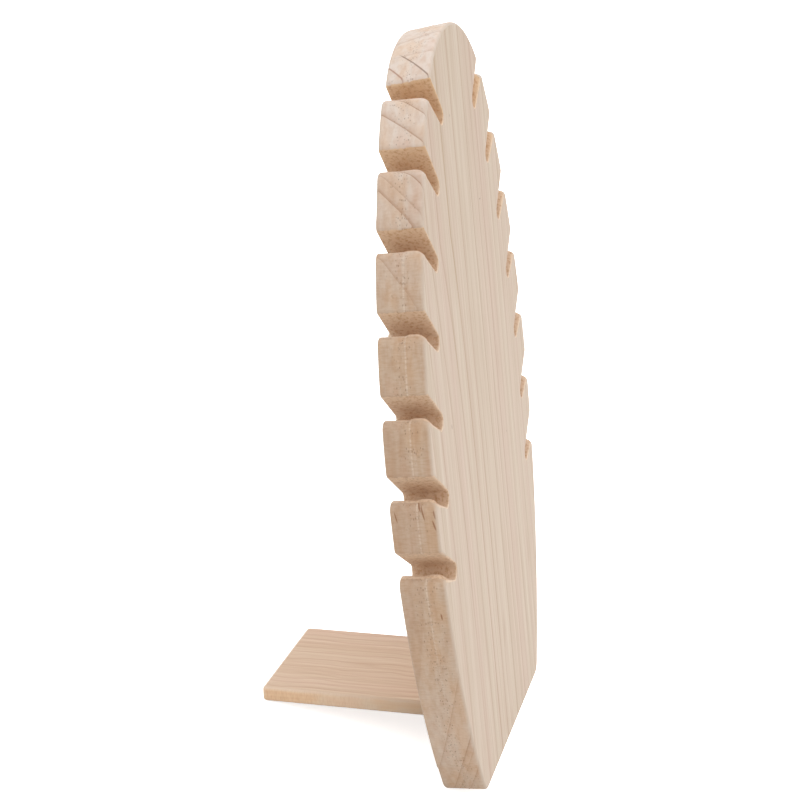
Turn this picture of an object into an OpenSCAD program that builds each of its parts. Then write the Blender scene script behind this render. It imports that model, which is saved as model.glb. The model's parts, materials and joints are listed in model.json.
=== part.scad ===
// Countertop display stand for necklaces: one leaning pine board, its edges notched
// on both sides so that a chain can be laid across the front, carried by an upright
// and a foot plate on its back.
//
// Each wooden piece is an outline taken through a small rounded edge, front and back.
// The pieces are drawn with the board standing straight: X across its face, Y through
// its thickness from the front face backward, Z up from its bottom edge. The whole
// stand is then leaned back until the board and the foot both touch the table.

/* [Board] */
// Height of the board from its bottom edge to the crown
board_h = 305; // [292:1:318]
// Width of the board where it is widest
board_w = 186; // [178:1:196]
// Thickness of the board
board_t = 18; // [15:0.5:22]
// Height of the widest place above the bottom edge
widest_h = 137; // [128:1:146]
// Width across the bottom edge before its corners are rounded
bottom_w = 117; // [105:1:130]
// Radius of the long curve from the crown down to the widest place
shoulder_r = 254; // [240:1:275]
// Radius of the two bottom corners
bottom_corner_r = 7.5; // [4:0.5:12]
// Radius of the sanded edges all round the board
board_edge_r = 1.3; // [0.5:0.1:1.7]

/* [Notches] */
// Number of notches on each side
notch_count = 7; // [2:1:7]
// Width of a notch
notch_w = 6.35; // [5:0.05:7.5]
// Depth from the mouth to the middle of the notch's round end
notch_depth = 20.5; // [14:0.5:23]
// Distance along the edge from the top of the crown to the first notch
first_notch = 49.8; // [44:0.2:56]
// Distance along the edge from one notch to the next
notch_pitch = 30.3; // [26:0.1:33]
// Slope of the topmost notch, down and inward from its mouth
top_notch_slope = 45; // [40:0.5:50]
// Slope of the lowest notch of a full row
low_notch_slope = 34; // [30:0.5:40]
// Radius of the pointed corner below each notch mouth
tip_r = 4; // [2.5:0.1:5]
// Radius of the blunt corner above each notch mouth
heel_r = 1.8; // [1.8:0.1:5]

/* [Upright] */
// Width of the upright
upright_w = 65; // [55:1:80]
// Thickness of the upright
upright_t = 12; // [10:0.5:18]
// Height of the upright's top above the board's bottom edge
upright_top = 187.5; // [160:0.5:230]
// Radius of the upright's two top corners
upright_corner_r = 3; // [2:0.5:8]

/* [Foot] */
// Width of the foot plate
foot_w = 65; // [55:1:80]
// Length of the foot plate behind the board
foot_l = 85.3; // [75:0.1:100]
// Thickness of the foot plate
foot_t = 6.3; // [5:0.1:9]
// Height of the foot's upper face where it meets the board, above the bottom edge
foot_top = 25.8; // [20:0.1:32]
// Angle by which the foot rises rearward from square to the board
foot_splay = 4.2; // [2:0.1:7]
// Radius of the foot's two rear corners
foot_corner_r = 2; // [1.6:0.1:6]
// Radius of the sanded edges of the upright and the foot
batten_edge_r = 1.2; // [0.5:0.1:1.5]

/* [Screws] */
// Diameter of the screws' shanks
screw_d = 3.5; // [3:0.1:4]
// Diameter of the countersunk heads
head_d = 7; // [6:0.1:8]
// Length of the screws through the upright, head included
board_screw_l = 25; // [18:0.5:26]
// Length of the screws up through the foot, head included
foot_screw_l = 25; // [16:0.5:30]
// Length of a screw's point
point_l = 4; // [2:0.5:6]
// Distance of each screw from the nearest long edge of the upright
screw_inset = 15; // [8:0.5:20]
// Height of the lower pair of screws above the board's bottom edge
low_screw_h = 70; // [60:1:90]
// Height of the upper pair of screws above the board's bottom edge
high_screw_h = 160; // [120:1:175]
// Clearance round each screw in its hole
screw_gap = 0.1; // [0.05:0.05:0.3]

/* [Hidden] */
// Straight pieces per quarter turn of a sanded edge, and per rounded corner of an
// outline, and the longest straight piece along the board's side
edge_steps = 3;
corner_steps = 5;
outline_step = 6;
// Notches in a full row, over which their slope changes
full_row = 7;
// Overlap of a cutting tool past the face it cuts, and a length beyond any piece
overcut = 1;
beyond = board_h + board_w;

// The board's side is three tangent arcs: crown, shoulder and flank. Their centres
// are chosen so that the board is widest at widest_h and its crown is at board_h.
half_w = board_w / 2;
flank_in = half_w - bottom_w / 2;
flank_r = (pow(flank_in, 2) + pow(widest_h, 2)) / (2 * flank_in);
crown_rise = board_h - widest_h;
shoulder_in = shoulder_r - half_w;
crown_r = (pow(shoulder_r, 2) - pow(shoulder_in, 2) - pow(crown_rise, 2))
    / (2 * (shoulder_r - crown_rise));
crown_c = [0, board_h - crown_r];
shoulder_c = [-shoulder_in, widest_h];
flank_c = [half_w - flank_r, widest_h];
blend_a = atan2(crown_c[1] - widest_h, shoulder_in);
crown_len = arc_len(crown_r, 90 - blend_a);
shoulder_len = arc_len(shoulder_r, blend_a);
// Each arc: centre, radius, distance along the edge where it starts, angle there
side_arcs = [
    [crown_c, crown_r, 0, 90],
    [shoulder_c, shoulder_r, crown_len, blend_a],
    [flank_c, flank_r, crown_len + shoulder_len, 0]
];

// Stance: the board's rear bottom edge and the foot's rear lower edge are quarter
// rounds about these points, given as [y, z], and both rounds touch the table.
heel_line = [board_t - board_edge_r, board_edge_r];
foot_line = foot_point(foot_l - batten_edge_r, foot_t - batten_edge_r);
foot_upper_line = foot_point(foot_l - batten_edge_r, batten_edge_r);
stance = foot_line - heel_line;
lean = atan2(stance[1], stance[0]) - asin((batten_edge_r - board_edge_r) / norm(stance));
stand_z = board_edge_r - leaned(heel_line)[1];
// The origin is on the table, below the middle of the stand's depth
front_y = leaned([board_edge_r, board_edge_r])[0] - board_edge_r;
back_y = max(
    leaned(foot_line)[0] + batten_edge_r,
    leaned(foot_upper_line)[0] + batten_edge_r,
    leaned([board_t - board_edge_r, board_h - board_edge_r])[0] + board_edge_r
);
stand_y = -(front_y + back_y) / 2;

function arc_len(r, a) = r * a * PI / 180;
function arc_angle(r, len) = len / r * 180 / PI;
function ray(a) = [cos(a), sin(a)];
// A point of the straight-standing model, [y, z], after the stand is leaned back
function leaned(p) = [
    p[0] * cos(lean) + p[1] * sin(lean),
    p[1] * cos(lean) - p[0] * sin(lean)
];
// A point of the foot, so far along it and so far below its upper face
function foot_point(along, below) = [
    board_t + along * cos(foot_splay) + below * sin(foot_splay),
    foot_top + along * sin(foot_splay) - below * cos(foot_splay)
];

// An outline is a list of [point, outward direction], clockwise seen from the front.
// These are its points on an arc; side is 1 when the wood is inside the arc and -1
// when it is outside.
function turn(centre, r, from, to, steps, side = 1) = [
    for (k = [0:steps])
        let (d = ray(from + (to - from) * k / steps))
        [centre + r * d, side * d]
];
function arc_at(s) = s < side_arcs[1][2] ? side_arcs[0]
    : s < side_arcs[2][2] ? side_arcs[1]
    : side_arcs[2];
// The outline at a distance s along the board's edge from the top of the crown
function side_point(s) =
    let (arc = arc_at(s), d = ray(arc[3] - arc_angle(arc[1], s - arc[2])))
    [arc[0] + arc[1] * d, d];
// The board's edge between two such distances, without its two end points
function side_run(from, to) =
    let (steps = ceil((to - from) / outline_step))
    [for (k = [1:1:steps - 1]) side_point(from + (to - from) * k / steps)];

function notch_slope(i) = top_notch_slope + (low_notch_slope - top_notch_slope) * i / (full_row - 1);
// Corner between a notch wall and the board's edge: a round of radius r that touches
// both. The wall passes through p along d, and the wood lies on its normal's side.
// Gives the round's centre, its angle on the board's edge, and the distance there.
function mouth_corner(arc, p, d, normal, r) =
    let (q = p + r * normal - arc[0],
         reach = sqrt(pow(q * d, 2) - q * q + pow(arc[1] - r, 2)) - q * d,
         centre = arc[0] + q + reach * d,
         out = centre - arc[0],
         a = atan2(out[1], out[0]))
    [centre, a, arc[2] + arc_len(arc[1], arc[3] - a)];
// One notch: the distances along the edge of its two ends, then its outline in three
// stretches. The first is the blunt corner above it, the second its round end down to
// the lowest point, and the third the rest of the end with the pointed corner below.
function notch(i) =
    let (s = first_notch + i * notch_pitch,
         slope = notch_slope(i),
         d = ray(slope),
         up = ray(slope + 90),
         mouth = side_point(s),
         root = mouth[0] - notch_depth * d,
         half = notch_w / 2,
         half_mouth = half / (d * mouth[1]),
         heel = mouth_corner(arc_at(s - half_mouth), root + half * up, d, up, heel_r),
         tip = mouth_corner(arc_at(s + half_mouth), root - half * up, d, -up, tip_r))
    [heel[2],
     tip[2],
     turn(heel[0], heel_r, heel[1], slope - 90, corner_steps),
     turn(root, half, slope + 90, 270, corner_steps, -1),
     concat(
        turn(root, half, 270 + slope / 2, 270 + slope, 1, -1),
        turn(tip[0], tip_r, slope + 90, tip[1], corner_steps))];
notches = [for (i = [0:notch_count - 1]) notch(i)];

// Bottom corner: a round that touches the flank from inside and the bottom edge
bottom_corner_c = [
    flank_c[0] + sqrt(pow(flank_r - bottom_corner_r, 2) - pow(widest_h - bottom_corner_r, 2)),
    bottom_corner_r
];
bottom_corner_a = atan2(bottom_corner_c[1] - flank_c[1], bottom_corner_c[0] - flank_c[0]);
side_end = side_arcs[2][2] + arc_len(flank_r, -bottom_corner_a);

// The right half of the outline, from the crown down to the bottom edge. Each point
// carries a third entry: true on the core between the two rows of notches, false on
// the teeth that stand out from it. From point to point the core only goes down.
lowest_root = notches[notch_count - 1][3][corner_steps][0][1];
function mark(points, core) = [for (p = points) [p[0], p[1], core]];
right_side = concat(
    mark([side_point(0)], true),
    mark(side_run(0, notches[0][0]), false),
    [for (i = [0:notch_count - 1])
        let (last = i == notch_count - 1, low_end = last ? side_end : notches[i + 1][0])
        each concat(
            mark(notches[i][2], false),
            mark(notches[i][3], true),
            mark(notches[i][4], false),
            [for (p = side_run(notches[i][1], low_end))
                [p[0], p[1], last && p[0][1] < lowest_root - board_edge_r]])],
    mark(turn(bottom_corner_c, bottom_corner_r, bottom_corner_a, -90, corner_steps), true)
);
side_n = len(right_side);
outline_n = 2 * side_n - 1;
board_outline = concat(
    right_side,
    [for (k = [side_n - 1:-1:1])
        let (p = right_side[k])
        [[-p[0][0], p[0][1]], [-p[1][0], p[1][1]]]]
);
// The board's flat face in pieces that are each simple: bands across the core from
// each point to its mirror image, and triangles that fan out over each tooth.
core = [for (k = [0:side_n - 1]) if (right_side[k][2]) k];
function mirror_of(k) = (outline_n - k) % outline_n;
board_face = [
    for (j = [1:len(core) - 1])
        let (a = core[j - 1], b = core[j])
        each concat(
            [a == 0 ? [a, b, mirror_of(b)] : [a, b, mirror_of(b), mirror_of(a)]],
            [for (k = [a:1:b - 2]) [b, k, k + 1]],
            [for (k = [a:1:b - 2]) [mirror_of(b), mirror_of(k + 1), mirror_of(k)]])
];

// A rectangle from [-w / 2, low] to [w / 2, high] whose corners are rounded by r
function plate_outline(w, low, high, r) = concat(
    turn([w / 2 - r, high - r], r, 90, 0, corner_steps),
    turn([w / 2 - r, low + r], r, 0, -90, corner_steps),
    turn([r - w / 2, low + r], r, -90, -180, corner_steps),
    turn([r - w / 2, high - r], r, 180, 90, corner_steps)
);

// A flat wooden piece: the outline stands in X and Z, the thickness runs back in Y,
// and both faces meet the edge in a quarter round of radius r. The front face is one
// polygon, or for a notched outline the simple pieces given.
module sanded_plate(outline, thickness, r, pieces = undef) {
    quarter = [for (k = [0:edge_steps]) 90 * k / edge_steps];
    front = [for (a = quarter) [r * (1 - sin(a)), r * (1 - cos(a))]];
    rings = concat(front, [for (k = [edge_steps:-1:0]) [front[k][0], thickness - front[k][1]]]);
    n = len(outline);
    points = [
        for (ring = rings, p = outline)
            let (q = p[0] - ring[0] * p[1])
            [q[0], ring[1], q[1]]
    ];
    bands = [
        for (b = [0:len(rings) - 2], k = [0:n - 1])
            let (next = (k + 1) % n)
            [b * n + k, (b + 1) * n + k, (b + 1) * n + next, b * n + next]
    ];
    front_face = is_undef(pieces) ? [[for (k = [0:n - 1]) k]] : pieces;
    back_face = [for (f = front_face) [for (j = [len(f) - 1:-1:0]) (len(rings) - 1) * n + f[j]]];
    polyhedron(points, concat(front_face, back_face, bands));
}

// Leans the straight-standing model back and sets it down on the table
module stand_pose() {
    translate([0, stand_y, stand_z]) rotate([-lean, 0, 0]) children();
}
// Places what is drawn along the foot: Y rearward along it, Z up from its upper face
module on_foot() {
    translate([0, board_t, foot_top]) rotate([foot_splay, 0, 0]) children();
}

// A countersunk wood screw, head down at the origin and point up. Its hole is the
// same shape, larger by the clearance all round and open through the head's face.
module wood_screw(length, gap = 0, open = 0) {
    head_h = (head_d - screw_d) / 2;
    rotate_extrude($fn = 32) polygon([
        [0, -open],
        [head_d / 2 + gap, -open],
        [head_d / 2 + gap, 0],
        [screw_d / 2 + gap, head_h],
        [screw_d / 2 + gap, length - point_l],
        [0, length + gap]
    ]);
}
module at_board_screws() {
    x = upright_w / 2 - screw_inset;
    for (side = [-1, 1], z = [low_screw_h, high_screw_h])
        translate([side * x, board_t + upright_t, z]) rotate([90, 0, 0]) children();
}
module at_foot_screws() {
    x = upright_w / 2 - screw_inset;
    for (side = [-1, 1])
        on_foot() translate([side * x, upright_t / 2, -foot_t]) children();
}

module display_board() {
    color("#dbc9b7") stand_pose() difference() {
        sanded_plate(board_outline, board_t, board_edge_r, board_face);
        at_board_screws() wood_screw(board_screw_l, screw_gap);
    }
}

module back_upright() {
    low = foot_top - upright_corner_r;
    color("#dec3a5") stand_pose() difference() {
        translate([0, board_t, 0])
            sanded_plate(
                plate_outline(upright_w, low, upright_top, upright_corner_r),
                upright_t, batten_edge_r);
        // The lower end is cut to stand flat on the foot
        on_foot() translate([-beyond / 2, -beyond / 2, -beyond]) cube(beyond);
        at_board_screws() wood_screw(board_screw_l, screw_gap, overcut);
        at_foot_screws() wood_screw(foot_screw_l, screw_gap);
    }
}

module foot_plate() {
    color("#d4baa0") stand_pose() difference() {
        on_foot() rotate([-90, 0, 0])
            sanded_plate(
                plate_outline(foot_w, -foot_t - foot_corner_r, foot_l, foot_corner_r),
                foot_t, batten_edge_r);
        // The front end is cut to butt on the board's back
        translate([-beyond / 2, board_t - beyond, -beyond / 2]) cube(beyond);
        at_foot_screws() wood_screw(foot_screw_l, screw_gap, overcut);
    }
}

module upright_screws() {
    color("#b8b8b4") stand_pose() at_board_screws() wood_screw(board_screw_l);
}

module foot_screws() {
    color("#b8b8b4") stand_pose() at_foot_screws() wood_screw(foot_screw_l);
}

display_board();
back_upright();
foot_plate();
upright_screws();
foot_screws();
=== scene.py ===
import json
from math import atan2, ceil, cos, degrees, inf, pi, radians, sin, sqrt
from types import SimpleNamespace

import bmesh
import bpy
from mathutils import Matrix, Vector


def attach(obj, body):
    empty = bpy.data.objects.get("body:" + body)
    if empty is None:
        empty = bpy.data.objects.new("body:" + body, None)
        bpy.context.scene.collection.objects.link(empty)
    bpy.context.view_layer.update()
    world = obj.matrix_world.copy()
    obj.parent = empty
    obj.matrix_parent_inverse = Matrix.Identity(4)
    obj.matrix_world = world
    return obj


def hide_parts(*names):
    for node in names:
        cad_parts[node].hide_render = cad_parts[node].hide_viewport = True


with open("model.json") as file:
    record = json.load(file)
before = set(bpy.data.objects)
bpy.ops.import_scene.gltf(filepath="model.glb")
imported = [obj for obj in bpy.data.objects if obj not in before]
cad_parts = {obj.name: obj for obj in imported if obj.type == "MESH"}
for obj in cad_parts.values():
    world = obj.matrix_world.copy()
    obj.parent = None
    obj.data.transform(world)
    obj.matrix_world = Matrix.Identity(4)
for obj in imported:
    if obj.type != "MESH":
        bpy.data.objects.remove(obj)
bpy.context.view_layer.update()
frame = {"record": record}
bpy.context.scene.view_settings.view_transform = "Standard"

# ---- Display board ----
# One plank of pale pine, band-sawn to its outline, its notches cut by a quarter-inch
# router bit from both faces. Both rims are eased with a round-over bit and sanded by
# hand. It is glued and screwed to the upright behind it.
BOARD_H, BOARD_W, BOARD_T = 305, 186, 18
WIDEST_H, BOTTOM_W, SHOULDER_R, BOTTOM_CORNER_R = 137, 117, 254, 7.5
BOARD_EASING = 1.3
NOTCHES, NOTCH_W, NOTCH_DEPTH, FIRST_NOTCH, NOTCH_PITCH = 7, 6.35, 20.5, 49.8, 30.3
TOP_SLOPE, LOW_SLOPE = 45, 34
TIP_R, HEEL_R = 4, 1.8
# Four screws come in from behind: how far they stand from the middle, their heights,
# and the radius and depth of their holes in the board
SCREW_OUT, SCREW_HEIGHTS, HOLE_R, BOARD_HOLE_DEPTH = 17.5, (70, 160), 1.85, 13

# Sizes are in millimetres with the board upright: X across it, Y through it from its
# front face and Z up it. The display face's mount gives the lean and the place, and it
# lies this far up the board.
MOUNT_H = 150
REARWARD = Vector((0, 1, 0))
mount = next(m for m in frame["record"]["mounts"] if m["name"] == "display_face")
LEAN = atan2(mount["axis"][2], -mount["axis"][1])
STANDING = (
    Matrix.Translation(mount["pos_m"])
    @ Matrix.Rotation(-LEAN, 4, "X")
    @ Matrix.Translation((0, 0, -MOUNT_H / 1000))
)


def ray(angle):
    return Vector((cos(radians(angle)), sin(radians(angle))))


def angle_of(v):
    return degrees(atan2(v.y, v.x))


def swing(bm, tip, centre, clockwise, step):
    """Carries the outline's last vertex round a centre, seen from the front, in edges
    that each turn by a step in degrees or less."""
    steps = max(2, ceil(abs(clockwise) / step))
    arc = bmesh.ops.spin(
        bm, geom=[tip], cent=(centre.x, 0, centre.y), axis=(0, 1, 0),
        angle=radians(clockwise), steps=steps)
    return arc["geom_last"][0]


def straight(bm, tip, end):
    """Draws a straight line from the outline's last vertex."""
    line = bmesh.ops.extrude_vert_indiv(bm, verts=[tip])
    line["verts"][0].co = (end.x, 0, end.y)
    return line["verts"][0]


# The side is three tangent arcs: centre, radius, where it starts along the edge, and
# its angle there.
half = BOARD_W / 2
inset = half - BOTTOM_W / 2
FLANK_R = (inset**2 + WIDEST_H**2) / (2 * inset)
rise = BOARD_H - WIDEST_H
CROWN_R = (SHOULDER_R**2 - (SHOULDER_R - half)**2 - rise**2) / (2 * (SHOULDER_R - rise))
crown_c = Vector((0, BOARD_H - CROWN_R))
shoulder_c = Vector((half - SHOULDER_R, WIDEST_H))
flank_c = Vector((half - FLANK_R, WIDEST_H))
blend = angle_of(crown_c - shoulder_c)
shoulder_at = CROWN_R * radians(90 - blend)
flank_at = shoulder_at + SHOULDER_R * radians(blend)
SIDE = [
    (crown_c, CROWN_R, 0, 90),
    (shoulder_c, SHOULDER_R, shoulder_at, blend),
    (flank_c, FLANK_R, flank_at, 0),
]


def side_arc(s):
    return SIDE[0] if s < shoulder_at else SIDE[1] if s < flank_at else SIDE[2]


def along_side(bm, tip, start, end):
    """Follows the side from one distance along it to another, in edges 2 mm long."""
    for (centre, r, at, _), stop in zip(SIDE, (shoulder_at, flank_at, inf)):
        low, high = max(start, at), min(end, stop)
        if high > low:
            tip = swing(bm, tip, centre, degrees((high - low) / r), degrees(2 / r))
    return tip


def mouth_round(s, p, d, inward, r):
    """The round between a notch wall through p along d and the side: its centre, its
    angle on the side, and how far along the side it meets it."""
    centre, side_r, at, start = side_arc(s)
    q = p + r * inward - centre
    reach = sqrt(q.dot(d)**2 - q.dot(q) + (side_r - r)**2) - q.dot(d)
    angle = angle_of(q + reach * d)
    return centre + q + reach * d, angle, at + side_r * radians(start - angle)


board_bm = bmesh.new()
tip = board_bm.verts.new((0, 0, BOARD_H))
reached = 0
points = []
heels = []
mouths = []
for i in range(NOTCHES):
    s = FIRST_NOTCH + i * NOTCH_PITCH
    slope = TOP_SLOPE + (LOW_SLOPE - TOP_SLOPE) * i / (NOTCHES - 1)
    d, up = ray(slope), ray(slope + 90)
    centre, r, start, angle = side_arc(s)
    out = ray(angle - degrees((s - start) / r))
    root = centre + r * out - NOTCH_DEPTH * d
    half_w = NOTCH_W / 2
    half_mouth = half_w / d.dot(out)
    heel, heel_a, heel_s = mouth_round(s - half_mouth, root + half_w * up, d, up, HEEL_R)
    point, point_a, point_s = mouth_round(s + half_mouth, root - half_w * up, d, -up, TIP_R)
    tip = along_side(board_bm, tip, reached, heel_s)
    tip = swing(board_bm, tip, heel, heel_a - (slope - 90), 15)
    tip = straight(board_bm, tip, root + half_w * up)
    tip = swing(board_bm, tip, root, -180, 10)
    tip = straight(board_bm, tip, point + TIP_R * up)
    tip = swing(board_bm, tip, point, slope + 90 - point_a, 9)
    points.append((point, slope + 90, point_a))
    heels.append(heel)
    mouths.append(centre + r * out)
    reached = point_s
corner_in = sqrt((FLANK_R - BOTTOM_CORNER_R)**2 - (WIDEST_H - BOTTOM_CORNER_R)**2)
corner = Vector((flank_c.x + corner_in, BOTTOM_CORNER_R))
corner_a = angle_of(corner - flank_c)
tip = along_side(board_bm, tip, reached, flank_at + FLANK_R * radians(-corner_a))
tip = swing(board_bm, tip, corner, corner_a + 90, 9)
straight(board_bm, tip, Vector((0, 0)))
bmesh.ops.mirror(board_bm, geom=board_bm.verts[:] + board_bm.edges[:], axis="X",
                 merge_dist=0.001)
bmesh.ops.contextual_create(board_bm, geom=board_bm.edges[:])


def ease_rims(bm, thickness, easing):
    """Gives an outline its thickness and rounds both rims; the two faces stay flat."""
    grown = bmesh.ops.extrude_face_region(bm, geom=bm.faces[:])
    moved = [v for v in grown["geom"] if isinstance(v, bmesh.types.BMVert)]
    bmesh.ops.translate(bm, verts=moved, vec=(0, thickness, 0))
    bmesh.ops.recalc_face_normals(bm, faces=bm.faces[:])
    rims = [e for e in bm.edges if abs(e.verts[0].co.y - e.verts[1].co.y) < 0.001]
    bmesh.ops.bevel(bm, geom=rims, offset=easing, offset_type="OFFSET", segments=6,
                    profile=0.5, affect="EDGES", clamp_overlap=False, material=-1)


# The cutter's pass from the front is this deep. In the notches it comes out this much
# high, and the pass from the back as much low. On the teeth the two meet in a fine
# ridge: its height and half its width.
FRONT_PASS, PASS_STEP, RIDGE_H, RIDGE_HALF = 7.5, 0.3, 0.12, 0.3
# The teeth's points are sanded rounder by this much at the front, and less and less to
# this far behind it. The crown is sanded in by this much at the back.
POINT_SANDING, SANDED_TO, CROWN_TAPER = 2.6, 4.2, 2.0
# How far off a point's or a heel's round its surface may lie, and how deep into the
# crown its sanding is taken
POINT_SLACK, HEEL_SLACK, CROWN_DEPTH = 0.6, 0.8, 4
# The rims keep this little of their rounding in the notches, and on the back between
# these two heights.
CRISP, CRISP_FROM, CRISP_TO = 0.4, 15, 240
# The left row was marked out by hand: each mouth strays this far up from even spacing,
# and the heel above it comes out this much lower. The stray fades out over these
# distances up or down the board and into it.
STRAY = (-1.7, 0.7, 0.6, 0.4, 0, 0, 0)
HEEL_DROP = (0, 0, 0.6, 0.7, 0.8, 0.9, 0.9)
STRAY_ALONG, STRAY_IN = 15, 14
# No notch reaches down to this height
BELOW_NOTCHES = 60


def side_of(v):
    """1 on the right half of the board and -1 on the left."""
    return 1 if v.co.x > 0 else -1


def folded(v, vector):
    """A vertex's place or normal seen from the front, with the left half of the board
    folded onto the right."""
    return Vector((vector.x * side_of(v), vector.z))


def sand_off(v, amount, out):
    """Moves a vertex in by an amount, against a direction on the folded board."""
    v.co.x -= amount * out.x * side_of(v)
    v.co.z -= amount * out.y


def mark_notches(bm):
    """Adds vertices where hand work leaves its marks, and stores how much each vertex
    belongs to a notch. A wall begins below the heels' rounding and is full 2 mm deeper,
    or where it faces down, 32 to 70 degrees off the outline."""
    near_ridge = [FRONT_PASS + y for y in (-1, -0.5, -0.25, 0, 0.25, 0.5, 1)]
    for y in [2, 3, SANDED_TO] + near_ridge:
        bmesh.ops.bisect_plane(bm, geom=bm.verts[:] + bm.edges[:] + bm.faces[:],
                               plane_co=(0, y, 0), plane_no=(0, 1, 0))
    bm.normal_update()
    inside = bm.verts.layers.float.new("notch")
    for v in bm.verts:
        place, faces = folded(v, v.co), folded(v, v.normal)
        on_crown = angle_of(place - crown_c) > blend
        centre, r = SIDE[0 if on_crown else 1 if place.y > WIDEST_H else 2][:2]
        depth = r - (place - centre).length
        turned = 1 - faces.dot((place - centre).normalized()) / max(faces.length, 0.01)
        sunk = (turned - 0.15) / 0.5 if faces.y < 0 and faces.length > 0.3 else 0
        how_much = min(max(sunk, (depth - HEEL_R) / 2, 0), 1)
        v[inside] = how_much if place.y > BELOW_NOTCHES else 0
    return inside


def keep_rims_crisp(bm, inside):
    """Takes most of the rounding off the rims in the notches and on the back."""
    for v in bm.verts:
        rim = min(v.co.y, BOARD_T - v.co.y)
        across = Vector((v.normal.x, v.normal.z))
        if rim < BOARD_EASING and across.length > 0.001:
            at_back = v.co.y > FRONT_PASS and CRISP_FROM < v.co.z < CRISP_TO
            keep = CRISP if at_back else 1 - (1 - CRISP) * v[inside]
            sunk = BOARD_EASING - sqrt(BOARD_EASING**2 - (BOARD_EASING - rim) ** 2)
            across = across.normalized() * sunk * (1 - keep)
            v.co.x += across.x
            v.co.z += across.y
            v.co.y += rim * (keep - 1) * (1 if v.co.y < FRONT_PASS else -1)


def meet_passes(bm, inside):
    """Lets the cutter's two passes meet in a ridge on the teeth and a step inside."""
    for v in bm.verts:
        over = v.co.y - FRONT_PASS
        ridge = RIDGE_H * max(0, 1 - abs(over) / RIDGE_HALF)
        v.co += ridge * (1 - v[inside]) * v.normal * (abs(v.normal.y) < 0.5)
        v.co.z -= PASS_STEP * v[inside] * min(max(over, -1), 1)


def sand_points(bm):
    """Rounds the points of the teeth towards the front."""
    for v in bm.verts:
        for point, first, last in points:
            arm = folded(v, v.co) - point
            swept = (first - angle_of(arm)) / (first - last)
            near = -0.01 < swept < 1 and arm.length < TIP_R + POINT_SLACK
            if near and v.co.y < SANDED_TO:
                fading = (1 - v.co.y / SANDED_TO) ** 2.5
                wear_and_highlight = POINT_SANDING * cos(pi / 2 * swept) ** 2 * fading
                sand_off(v, wear_and_highlight, arm.normalized())


def sand_crown(bm):
    """Tapers the crown above the first notches towards the back."""
    lowest = angle_of(mouths[0] - crown_c)
    for v in bm.verts:
        arm = folded(v, v.co) - crown_c
        if angle_of(arm) > lowest and arm.length > CROWN_R - CROWN_DEPTH:
            sand_off(v, CROWN_TAPER * v.co.y / BOARD_T, arm.normalized())


def shift_left_row(bm):
    """Moves the mouths of the left row off their even spacing."""
    for v in bm.verts:
        for mouth, heel, stray, drop in zip(mouths, heels, STRAY, HEEL_DROP):
            near = max(0, 1 - abs(v.co.z - mouth.y) / STRAY_ALONG)
            out = min(max((mouth.x + 1 + v.co.x) / -STRAY_IN + 1, 0), 1)
            if (Vector((-v.co.x, v.co.z)) - heel).length < HEEL_R + HEEL_SLACK:
                v.co.z -= drop
            v.co.z += stray * near * out


# How close a normal is to an axis on a flat face
FLAT = 0.999


def finish_faces(bm):
    """Keeps the large flat faces crisp beside their soft rims, with a narrow border, and
    sorts faces from edges."""
    flats = [f for f in bm.faces if abs(f.normal.y) > FLAT and f.calc_area() > 100]
    bmesh.ops.inset_region(bm, faces=flats, thickness=0.4, use_even_offset=True)
    for f in bm.faces:
        f.smooth = f not in flats
        f.material_index = 0 if abs(f.normal.y) > FLAT else 1


def flat_face(bm, side):
    """The large flat face on that side of a piece."""
    return max(bm.faces, key=lambda f: f.calc_area() * (f.normal.dot(side) > FLAT))


def drill(bm, entry, centres, into, rings, far=None):
    """Drills round holes into a flat face. Each ring is a radius and a depth; the last
    closes the hole, or comes out of the far face."""
    doors = [(f, f.normal.copy(), list(f.edges)) for f in (entry, far) if f]
    turned = into.to_track_quat("Z", "Y").to_matrix().to_4x4()
    for centre in centres:
        last = None
        for r, depth in rings:
            spot = Matrix.Translation(centre + depth * into) @ turned
            made = bmesh.ops.create_circle(bm, segments=32, radius=r, matrix=spot)
            loop = list(dict.fromkeys(e for v in made["verts"] for e in v.link_edges))
            if last:
                wall = bmesh.ops.bridge_loops(bm, edges=last + loop)
                for f in wall["faces"]:
                    f.smooth, f.material_index = True, 1
            else:
                doors[0][2].extend(loop)
            last = loop
        if far:
            doors[1][2].extend(last)
        else:
            bmesh.ops.contextual_create(bm, geom=last, mat_nr=1)
    for door, normal, edges in doors:
        slot = door.material_index
        bmesh.ops.delete(bm, geom=[door], context="FACES_ONLY")
        filled = bmesh.ops.triangle_fill(bm, edges=edges, normal=normal, use_beauty=True)
        for f in filled["geom"]:
            if isinstance(f, bmesh.types.BMFace):
                f.material_index = slot
    bmesh.ops.recalc_face_normals(bm, faces=bm.faces[:])


def piece(name, bm, node, slot, *looks):
    """Makes a piece of a finished mesh that stands upright in millimetres."""
    bmesh.ops.transform(bm, matrix=STANDING @ Matrix.Scale(0.001, 4), verts=bm.verts[:])
    mesh = bpy.data.meshes.new(name)
    bm.to_mesh(mesh)
    bm.free()
    for material in looks:
        mesh.materials.append(material)
    made = bpy.data.objects.new(name, mesh)
    bpy.context.collection.objects.link(made)
    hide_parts(node)
    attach(made, "root")


def colour(code):
    """A linear colour from an sRGB hex value."""
    parts = [int(code[i:i + 2], 16) / 255 for i in (1, 3, 5)]
    return [c / 12.92 if c <= 0.04045 else ((c + 0.055) / 1.055) ** 2.4 for c in parts] + [1]


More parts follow.
